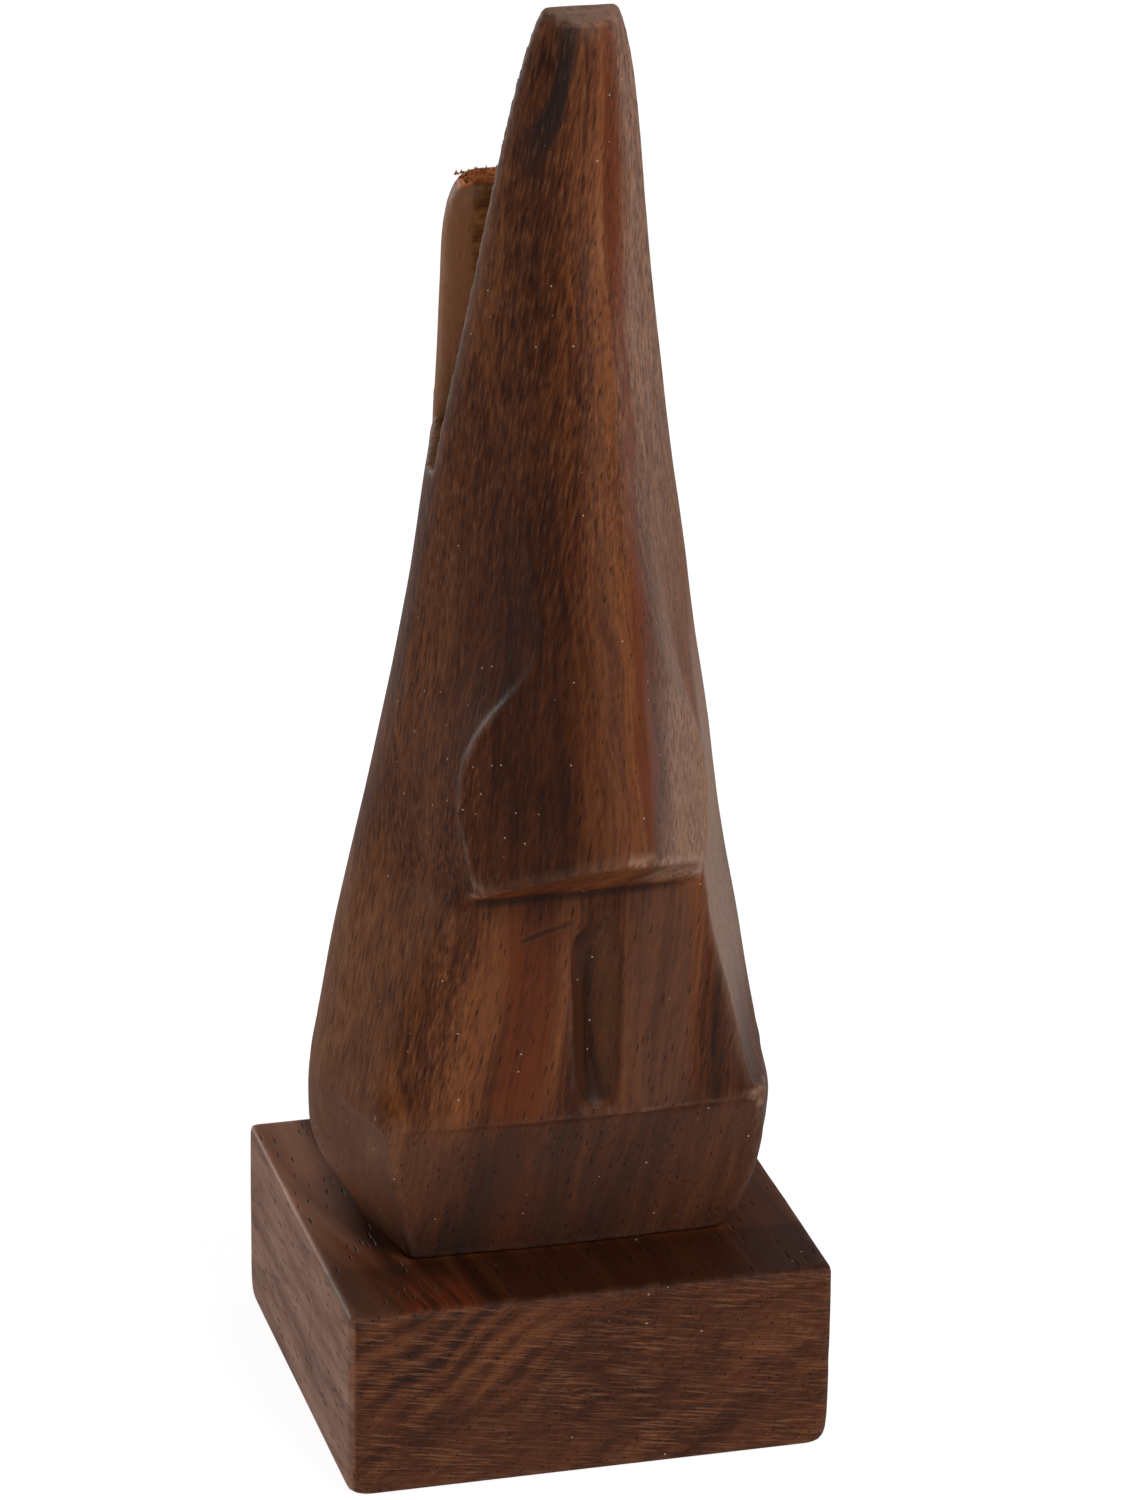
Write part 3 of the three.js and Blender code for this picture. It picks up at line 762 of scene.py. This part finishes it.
    def finish(self, rough, height, distance, strength=1.0):
        """Joins colour, roughness and bump, whose distance is in millimetres."""
        self.put(self.surface.inputs["Base Color"], self.colour)
        self.put(self.surface.inputs["Roughness"], rough)
        self.put(self.surface.inputs["Normal"], self.bump(height, distance, strength))
        return self.material

    def bump(self, height, distance, strength):
        node = self.add("ShaderNodeBump")
        node.inputs["Strength"].default_value = strength
        node.inputs["Distance"].default_value = distance * MM
        self.put(node.inputs["Height"], height)
        return node.outputs[0]


NEAR_BLACK = (0.020, 0.009, 0.006)
DARK_RED = (0.050, 0.0130, 0.0045)
RED_BROWN = (0.086, 0.0230, 0.0070)
MID_BROWN = (0.125, 0.0370, 0.0110)
ORANGE = (0.175, 0.0530, 0.0145)
TAN = (0.225, 0.0880, 0.0330)
TONES = [
    (0.14, NEAR_BLACK), (0.32, DARK_RED), (0.47, RED_BROWN), (0.60, MID_BROWN), (0.76, ORANGE), (0.95, TAN),
]
GLOW = (0.118, 0.0215, 0.0030)  # the wood's most saturated orange
STREAK = (0.022, 0.013, 0.011)
GREY_BROWN = (0.080, 0.042, 0.030)
REAR_WOOD = (0.39, 0.155, 0.055)
# painted sheen on the right flank of the front prong
PRONG_FLANK_SHEEN = (0.29, 0.15, 0.09)
LONG_STROKE = (0.33, 0.17, 0.095)
# painted sheen on the right flank of the nose
NOSE_FLANK_SHEEN = (0.29, 0.175, 0.12)
# painted sheen on the right cheek
CHEEK_SHEEN = (0.31, 0.185, 0.13)
# pale edges from wear, together with painted highlights
RUBBED_EDGE_AND_HIGHLIGHT = (0.30, 0.175, 0.115)
# painted sheen on the top facet
TOP_SHEEN = (0.33, 0.190, 0.140)
# bare sawn wood together with a painted highlight
RAW_EDGE_AND_HIGHLIGHT = (0.45, 0.30, 0.21)
GROOVE_BROWN = (0.095, 0.037, 0.015)
# painted shade in the groove and along the knife crease
GROOVE_SHADE_RED = (0.045, 0.012, 0.005)
# wax together with painted shadow
LEDGE_WAX_AND_SHADOW = (0.022, 0.006, 0.003)
LEDGE_RED = (0.16, 0.032, 0.010)
SCRATCH = (0.21, 0.085, 0.036)
BLOCK_EDGE = (0.16, 0.07, 0.04)
WAX = (0.014, 0.006, 0.004)
DUST = (0.42, 0.30, 0.22)
SATIN = 0.16  # specular level of the waxed wood

# Tone of the body's colour bands against distance across the stand in mm, at four heights.
BAND_SPAN = 60
CHIN_BANDS = [
    (-27, 0.78), (-23, 0.62), (-19, 0.54), (-15.5, 0.40), (-11.5, 0.16), (-7, 0.38), (0, 0.36), (8, 0.32),
    (14, 0.48), (20, 0.54), (27, 0.48),
]
LIP_BANDS = [
    (-27, 0.80), (-21, 0.62), (-17, 0.48), (-13.3, 0.70), (-11, 0.66), (-9.4, 0.48), (-5, 0.50),
    (-2.4, 0.60), (0, 0.36), (3, 0.44), (8, 0.52), (13, 0.52), (16.5, 0.34), (20, 0.26), (27, 0.5),
]
NOSE_BANDS = [
    (-20, 0.52), (-14, 0.48), (-9, 0.28), (-6, 0.34), (-3, 0.52), (0, 0.58), (2.2, 0.66), (4, 0.52),
    (6.4, 0.40), (9, 0.56), (13, 0.66), (20, 0.6),
]
PRONG_BANDS = [
    (-9, 0.54), (-5.6, 0.42), (-3.4, 0.46), (-2, 0.62), (-0.6, 0.46), (1, 0.60), (2.4, 0.76), (3.8, 0.48),
    (5.5, 0.60), (9, 0.58),
]


def body_wood():
    s = Shader("rosewood_carved")
    x, y, z = s.place()
    edge, sawn, torn = s.attribute("edge"), s.attribute("sawn"), s.attribute("torn")
    top, rub_and_highlight, cut = s.attribute("top"), s.attribute("rub_and_highlight"), s.attribute("cut")
    raw_and_highlight, right = s.attribute("raw_and_highlight"), s.attribute("right")

    # colour bands along the grain, which wander a little on their way up
    wander = s.noise(x, y, z, (24, 24, 120), 1.0)
    waver = s.noise(x, y, z, (6, 6, 36), 1.0, shift=4.0)
    bent = s.total((x, 1.0), (s.math("SUBTRACT", waver, 0.5), 4.5))
    across = s.total((y, 1.0), (x, -0.3))

    def bands(stops, lean, height):
        """Tone of the bands, which lean to the right above a height."""
        lane = s.total((bent, 1 / BAND_SPAN), (s.math("SUBTRACT", z, height), -lean / BAND_SPAN))
        greys = [((at + BAND_SPAN / 2) / BAND_SPAN, (tone, tone, tone)) for at, tone in stops]
        return s.ramp(s.math("ADD", lane, 0.5), greys)

    tone = s.blend(s.between(z, 42, 48), bands(CHIN_BANDS, 0.40, 35), bands(LIP_BANDS, 0.17, 60))
    tone = s.blend(s.between(z, 72, 82), tone, bands(NOSE_BANDS, 0.02, 95))
    tone = s.blend(s.between(z, 112, 150), tone, bands(PRONG_BANDS, 0.05, 165))
    layer = s.total((bent, 1.0), (y, 0.30), (z, -0.05), (wander, 9.0))
    broad = s.noise(layer, across, z, (7.5, 26, 150), 1.0, shift=2.0)
    middle = s.noise(layer, across, z, (1.9, 8, 60), 2.0, shift=7.0)
    fine = s.noise(layer, across, z, (0.55, 2.0, 22), 2.0, shift=11.0)
    # short curly strokes that lean to the right, strongest on the front prong and the left cheek
    slant = s.total((x, 1.0), (y, 0.4), (z, -0.24), (wander, 3.0))
    strokes = s.noise(slant, across, z, (0.33, 0.45, 2.6), 2.0, 0.62, shift=3.0)
    left_cheek = s.product(s.between(x, -11, -16), s.between(z, 44, 50))
    lively = s.math("MAXIMUM", s.between(z, 100, 140), left_cheek)
    curl = s.product(s.math("SUBTRACT", strokes, 0.5), s.math("MULTIPLY_ADD", lively, 0.36, 0.42))
    tone = s.total((tone, 1.0), (broad, 0.30), (middle, 0.46), (fine, 0.40), (curl, 1.0))
    tone = s.math("ADD", tone, -0.58)
    # the rear prong is a lighter, more orange wood
    rear = s.product(s.between(y, 5, 9), s.between(z, 96, 146))
    tone = s.math("MULTIPLY_ADD", rear, 0.20, tone)
    s.colour = s.ramp(tone, TONES)

    # painted sheen: the right flank of the front prong, which faces the light on the right, is painted a
    # light tan
    s.lay(PRONG_FLANK_SHEEN, right, s.between(strokes, 0.35, 0.62, 0.10, 0.65))
    # the most saturated bands: one on the ridge of the nose, one on the left of the lip
    ridge_glow = s.product(s.band(bent, 4.2, 1.9), s.between(z, 84, 92))
    lip_glow = s.product(s.band(bent, -7.2, 4.4), s.between(z, 78, 70))
    glow = s.math("MAXIMUM", ridge_glow, lip_glow)
    s.lay(GLOW, glow, s.between(tone, 0.25, 0.55, 0.25, 0.75))
    # the chin and most of the right of the lip are greyer
    chin = s.between(z, 47, 44)
    grey = s.math("MAXIMUM", chin, s.product(s.between(x, 4, 8), s.between(z, 77, 74)))
    grey = s.product(grey, s.math("MAXIMUM", chin, s.between(x, 15, 13)))
    s.lay(GREY_BROWN, grey, 0.35)
    # the near-black streak down the left of the front prong
    streak_line = s.total((bent, 1.0), (z, -0.26), (middle, 2.0))
    streak = s.product(s.band(streak_line, -48.15, 1.8), s.between(z, 163, 172))
    s.lay(STREAK, streak, 0.92)
    s.lay(TAN, s.between(strokes, 0.56, 0.70, 0.0, 0.22), lively)
    s.lay(NEAR_BLACK, s.between(strokes, 0.32, 0.44, 0.30, 0.0), lively)
    # longer strokes on the right flank of the front prong
    long_slant = s.total((x, 0.5), (y, 0.9), (z, -0.10))
    long_strokes = s.noise(long_slant, across, z, (1.1, 3.0, 4.2), 3.0, 0.65, shift=15.0)
    s.lay(LONG_STROKE, s.between(long_strokes, 0.52, 0.64, 0.0, 0.45), right)
    s.lay(DARK_RED, s.between(long_strokes, 0.36, 0.48, 0.45, 0.0), right)
    # pores, dark dashes along the grain
    away, own = s.cells(slant, across, z, (0.62, 0.62, 4.2))
    pore = s.product(s.between(away, 0.10, 0.24, 1.0, 0.0), s.between(own, 0.40, 0.5))
    s.lay(WAX, pore, 0.6)
    s.lay(REAR_WOOD, rear, 0.6)

    # sawn faces are dry and mottled, the torn end grain is bright
    rows = s.noise(x, y, z, (5, 5, 0.6), 3.0, 0.6, shift=5.0)
    blotch = s.noise(x, y, z, (1.6, 1.6, 2.4), 3.0, 0.65, shift=14.0)
    mottle = s.total((rows, 0.55), (blotch, 0.75), (s.between(z, 160, 126), 0.12))
    face_colour = s.ramp(mottle, [
        (0.48, (0.05, 0.018, 0.005)), (0.66, (0.18, 0.064, 0.014)), (0.86, (0.36, 0.150, 0.045)),
    ])
    s.lay(face_colour, sawn, 0.95)
    fuzz = s.noise(x, y, z, (0.6, 0.6, 0.6), 3.0, shift=9.0)
    bright = s.ramp(fuzz, [
        (0.3, (0.42, 0.075, 0.004)), (0.55, (0.90, 0.22, 0.018)), (0.72, (0.95, 0.42, 0.09)),
    ])
    s.lay(bright, torn)
    # the groove: its right face is olive brown; its left face and the knife crease are painted dark red as
    # shade in the cut
    s.lay(GROOVE_BROWN, s.between(cut, 0.2, 0.5), 0.45)
    s.lay(GROOVE_SHADE_RED, s.between(cut, 0.6, 0.9), 0.65)

    # painted sheen: the top facet, which faces up, is painted pale
    s.lay(TOP_SHEEN, top, s.between(blotch, 0.4, 0.65, 0.5, 0.9))
    # bare sawn wood with a painted highlight along the slot's edge
    s.lay(RAW_EDGE_AND_HIGHLIGHT, raw_and_highlight, 0.85)
    # painted sheen: the right flank of the nose is painted pale and greyish
    flank = s.product(s.between(s.total((x, 1.0), (waver, 3.0)), 6.2, 11), s.between(z, 76, 78))
    flank = s.product(flank, s.between(z, 128, 100), s.between(y, -18, -21))
    s.lay(NOSE_FLANK_SHEEN, flank, s.between(strokes, 0.35, 0.6, 0.2, 0.6))
    # painted sheen: the right cheek beside it is painted pale and greyish too
    cheek = s.product(s.between(z, 46, 64), s.between(z, 122, 88), s.between(x, 15, 16.5))
    cheek = s.product(cheek, s.between(y, 8, -8), s.between(y, -20.8, -19.8))
    s.lay(CHEEK_SHEEN, cheek, s.between(strokes, 0.3, 0.66, 0.45, 0.8))
    # edges are rubbed pale and carry painted highlights, hollows hold dark wax
    patch = s.noise(x, y, z, (1.4, 1.4, 2.0), 3.0, shift=8.0)
    pale_edges = s.product(s.between(edge, 0.30, 0.75), s.between(patch, 0.35, 0.62, 0.2, 0.8), rub_and_highlight)
    s.lay(RUBBED_EDGE_AND_HIGHLIGHT, pale_edges)
    s.lay(WAX, s.between(edge, -0.70, -0.20, 0.7, 0.0))
    # sanding dust caught in the grain, most of it on the nose
    speck, speck_own = s.cells(x, y, z, (1.9, 1.9, 1.9), shift=6.0)
    dusty = s.product(s.between(z, 74, 84), s.between(z, 118, 100))
    chosen = s.math("GREATER_THAN", speck_own, s.math("MULTIPLY_ADD", dusty, -0.45, 0.82))
    dust = s.product(s.between(speck, 0.05, 0.095, 1.0, 0.0), chosen)
    s.lay(DUST, dust, 0.85)

    smear = s.noise(x, y, z, (6, 6, 14), 3.0, shift=12.0)
    rough = s.total((smear, 0.24), (pore, 0.18), (sawn, 0.3), (strokes, 0.14))
    s.surface.inputs["Specular IOR Level"].default_value = SATIN
    saw_marks = s.product(sawn, rows)
    height = s.total((strokes, 0.55), (fine, 0.4), (pore, -1.0), (saw_marks, 3.0), (dust, 0.8))
    return s.finish(s.math("ADD", rough, 0.27), height, 0.12, 0.8)


def base_wood():
    s = Shader("rosewood_block")
    x, y, z = s.place()
    edge, end = s.attribute("edge"), s.attribute("end_grain")

    # growth layers that run through the block from front to back
    wander = s.noise(x, y, z, (22, 90, 22), 1.0, shift=1.0)
    waver = s.noise(x, y, z, (6, 34, 6), 1.0, shift=5.0)
    layer = s.total((x, 0.60), (z, -0.80), (y, 0.06), (wander, 7.0), (waver, 2.0))
    across = s.total((x, 0.80), (z, 0.60))
    broad = s.noise(layer, across, y, (5.5, 24, 140), 1.0, shift=3.0)
    middle = s.noise(layer, across, y, (1.6, 9, 60), 2.0, shift=8.0)
    fine = s.noise(layer, across, y, (0.5, 2.0, 24), 2.0, shift=13.0)
    tone = s.total((broad, 0.42), (middle, 0.30), (fine, 0.30))
    # light stripes across the upper left of the front end
    stripes = s.math("SINE", s.math("MULTIPLY", layer, 2.1))
    corner = s.product(s.between(x, 2, -14), s.between(z, 6, 18))
    tone = s.math("MULTIPLY_ADD", s.product(stripes, corner), 0.13, tone)
    s.colour = s.ramp(s.math("ADD", tone, -0.07), TONES)

    # along the grain the left side is a lighter, greyer brown, painted sheen from the light on the left,
    # with one short drying crack
    side = s.between(x, -30, -30.8)
    lengthwise = s.noise(x, y, z, (3, 16, 2.2), 4.0, 0.6, shift=9.0)
    face_colour = s.ramp(lengthwise, [
        (0.34, (0.19, 0.078, 0.045)), (0.5, (0.29, 0.135, 0.080)), (0.66, (0.38, 0.20, 0.130)),
    ])
    s.lay(face_colour, side, 0.8)
    crack_line = s.total((y, 1.0), (s.noise(x, y, z, (4, 4, 4), 2.0), 1.4))
    crack = s.product(s.band(crack_line, -6.3, 0.22), s.between(z, 5, 7), s.between(z, 17, 15))
    s.lay(WAX, crack, side, 0.75)

    # wax and painted shadow darken the top in front of the body, with a red gleam on the left
    on_top = s.between(z, 24.2, 24.8)
    front_ledge = s.product(on_top, s.between(y, -15, -17))
    s.lay(LEDGE_WAX_AND_SHADOW, front_ledge, 0.55)
    gleam = s.product(s.band(s.total((x, 1.0), (middle, 12.0)), -13, 8), s.between(y, -17, -25))
    gleam = s.product(gleam, s.between(fine, 0.35, 0.6, 0.2, 0.8))
    s.lay(LEDGE_RED, front_ledge, gleam)
    # the left of the top is painted a warm, light brown, least towards the front: wood colour together with
    # painted light that fills the shade of the body there
    left_ledge = s.product(on_top, s.between(x, -22, -27))
    left_ledge = s.product(left_ledge, s.between(s.total((y, 1.0), (middle, 8.0)), -14, 16, 0.1, 1.0))
    warm_and_painted_light = s.ramp(middle, [
        (0.34, (0.36, 0.125, 0.060)), (0.5, (0.60, 0.25, 0.135)), (0.66, (0.72, 0.37, 0.220)),
    ])
    s.lay(warm_and_painted_light, left_ledge, 0.85)

    # long pores
    away, own = s.cells(x, z, y, (0.75, 0.75, 4.4))
    pore = s.product(s.between(away, 0.12, 0.28, 1.0, 0.0), s.between(own, 0.35, 0.5))
    s.lay(WAX, pore, 0.7)
    # sanding scratches across the ends
    tilt = s.total((z, 1.0), (x, 0.17))
    scratch = s.noise(x, y, tilt, (5, 5, 0.27), 3.0, 0.7, shift=2.0)
    worked = s.product(end, s.between(s.noise(x, y, z, (9, 9, 6), 2.0, shift=17.0), 0.35, 0.6, 0.35, 1.0))
    light = s.product(s.between(scratch, 0.52, 0.64, 0.0, 0.6), worked)
    dark = s.product(s.between(scratch, 0.36, 0.48, 0.65, 0.0), worked)
    s.lay(SCRATCH, light)
    s.lay(NEAR_BLACK, dark)
    # rubbed edges and sanding dust
    patch = s.noise(x, y, z, (1.6, 1.6, 1.6), 3.0, shift=8.0)
    pale_edges = s.product(s.between(edge, 0.45, 0.95), s.between(patch, 0.42, 0.62, 0.0, 0.18))
    s.lay(BLOCK_EDGE, pale_edges)
    speck, speck_own = s.cells(x, y, z, (2.4, 2.4, 2.4), shift=6.0)
    dust = s.product(s.between(speck, 0.04, 0.085, 1.0, 0.0), s.math("GREATER_THAN", speck_own, 0.75))
    s.lay(DUST, dust, 0.8)

    smear = s.noise(x, y, z, (8, 8, 8), 3.0, shift=12.0)
    rough = s.total((smear, 0.24), (pore, 0.18), (end, 0.12))
    s.surface.inputs["Specular IOR Level"].default_value = SATIN
    height = s.total((fine, 0.5), (pore, -1.0), (s.product(end, scratch), 2.0), (dust, 0.8))
    return s.finish(s.math("ADD", rough, 0.32), height, 0.12, 0.8)


def fibre_wood():
    s = Shader("torn_end_grain")
    x, y, z = s.place()
    fuzz = s.noise(x, y, z, (0.8, 0.8, 0.8), 3.0)
    s.colour = s.ramp(fuzz, [
        (0.3, (0.22, 0.055, 0.012)), (0.55, (0.55, 0.17, 0.040)), (0.75, (0.75, 0.36, 0.15)),
    ])
    return s.finish(s.between(fuzz, 0.3, 0.7, 0.75, 0.95), fuzz, 0.05)


def screw_metal():
    s = Shader("screw_steel")
    x, y, z = s.place()
    stain = s.noise(x, y, z, (1.5, 1.5, 1.5), 4.0)
    s.colour = s.ramp(stain, [(0.35, (0.25, 0.22, 0.18)), (0.6, (0.50, 0.49, 0.46))])
    s.surface.inputs["Metallic"].default_value = 1.0
    return s.finish(s.between(stain, 0.3, 0.7, 0.5, 0.28), stain, 0.04)


def dress(piece, material, node=None):
    """Gives a piece its material, puts it on the stand, and hides the CAD piece that it stands for."""
    piece.data.materials.clear()
    piece.data.materials.append(material)
    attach(piece, "root")
    if node:
        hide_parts(node)


dress(carve_body(), body_wood(), "nose_body")
dress(carve_base(), base_wood(), "base_block")
dress(torn_fibres(), fibre_wood())
steel = screw_metal()
for name in ("screw_front", "screw_rear"):
    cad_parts[name].data.materials.clear()
    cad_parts[name].data.materials.append(steel)


# ---------- camera, floor and studio light
def add_camera():
    """A long lens from the left of the nose, a little above it."""
    azimuth, elevation, roll = (math.radians(angle) for angle in (-15.122, 22.04, 0.682))
    level = math.cos(elevation)
    back = Vector((math.sin(azimuth) * level, -math.cos(azimuth) * level, math.sin(elevation)))
    right = Vector((math.cos(azimuth), math.sin(azimuth), 0))
    up = back.cross(right)
    across = right * math.cos(roll) + up * math.sin(roll)
    upright = up * math.cos(roll) - right * math.sin(roll)
    offset_across, offset_up, distance = 3.702, 79.689, 851.689
    data = bpy.data.cameras.new("camera")
    data.lens = 158.4
    data.sensor_width = 36
    data.clip_start = 0.01
    data.clip_end = 50
    camera = bpy.data.objects.new("camera", data)
    scene.collection.objects.link(camera)
    turn = Matrix((across, upright, back)).transposed()
    camera.matrix_world = Matrix.Translation(
        (across * offset_across + upright * offset_up + back * distance) * MM
    ) @ turn.to_4x4()
    scene.camera = camera


def add_area(name, place, target, size, power):
    """A rectangular softbox at a place, turned towards a target, in metres and watts."""
    data = bpy.data.lights.new(name, "AREA")
    data.shape = "RECTANGLE"
    data.size, data.size_y = size
    data.energy = power
    lamp = bpy.data.objects.new(name, data)
    scene.collection.objects.link(lamp)
    lamp.location = place
    lamp.rotation_euler = (Vector(target) - Vector(place)).to_track_quat("-Z", "Y").to_euler()
    lamp.visible_camera = False


def add_floor():
    """White paper under the stand, lit by itself so that it stays white."""
    size = 6.0
    mesh = bpy.data.meshes.new("floor")
    drop = -0.1 * MM
    corners = [(-size, -size, drop), (size, -size, drop), (size, size, drop), (-size, size, drop)]
    mesh.from_pydata(corners, [], [(0, 1, 2, 3)])
    floor = bpy.data.objects.new("floor", mesh)
    scene.collection.objects.link(floor)
    s = Shader("floor_paper")
    s.surface.inputs["Base Color"].default_value = (0.30, 0.30, 0.30, 1)
    s.surface.inputs["Roughness"].default_value = 0.95
    s.surface.inputs["Emission Color"].default_value = (1, 1, 1, 1)
    s.surface.inputs["Emission Strength"].default_value = 0.92
    s.surface.inputs["Specular IOR Level"].default_value = 0.0
    mesh.materials.append(s.material)
    floor.visible_glossy = False


def add_world():
    """A white studio that is bright behind and above the stand and dim on the camera's side."""
    world = bpy.data.worlds.new("studio")
    scene.world = world
    world.use_nodes = True
    tree = world.node_tree
    tree.nodes.clear()
    out = tree.nodes.new("ShaderNodeOutputWorld")
    background = tree.nodes.new("ShaderNodeBackground")
    background.inputs["Color"].default_value = (1, 1, 1, 1)
    toward = tree.nodes.new("ShaderNodeTexCoord")
    dot = tree.nodes.new("ShaderNodeVectorMath")
    dot.operation = "DOT_PRODUCT"
    dot.inputs[1].default_value = Vector((-0.70, -0.70, 0.1)).normalized()
    spread = tree.nodes.new("ShaderNodeMapRange")
    spread.interpolation_type = "SMOOTHSTEP"
    for key, value in (("From Min", -0.35), ("From Max", 0.35), ("To Min", 0.30), ("To Max", 0.10)):
        spread.inputs[key].default_value = value
    tree.links.new(toward.outputs["Generated"], dot.inputs[0])
    tree.links.new(dot.outputs["Value"], spread.inputs["Value"])
    tree.links.new(spread.outputs[0], background.inputs["Strength"])
    tree.links.new(background.outputs[0], out.inputs["Surface"])


add_camera()
add_floor()
add_world()
add_area("key", (0.36, -0.95, 0.85), (0, 0, 0.09), (0.5, 0.5), 9)
add_area("right_sheen", (1.1, 0.35, 0.25), (0, 0, 0.1), (0.6, 0.9), 1.8)
add_area("left_fill", (-0.6, 1.0, 0.25), (0, 0, 0.07), (0.6, 0.5), 3.6)
scene.view_settings.view_transform = "Standard"
scene.view_settings.look = "None"
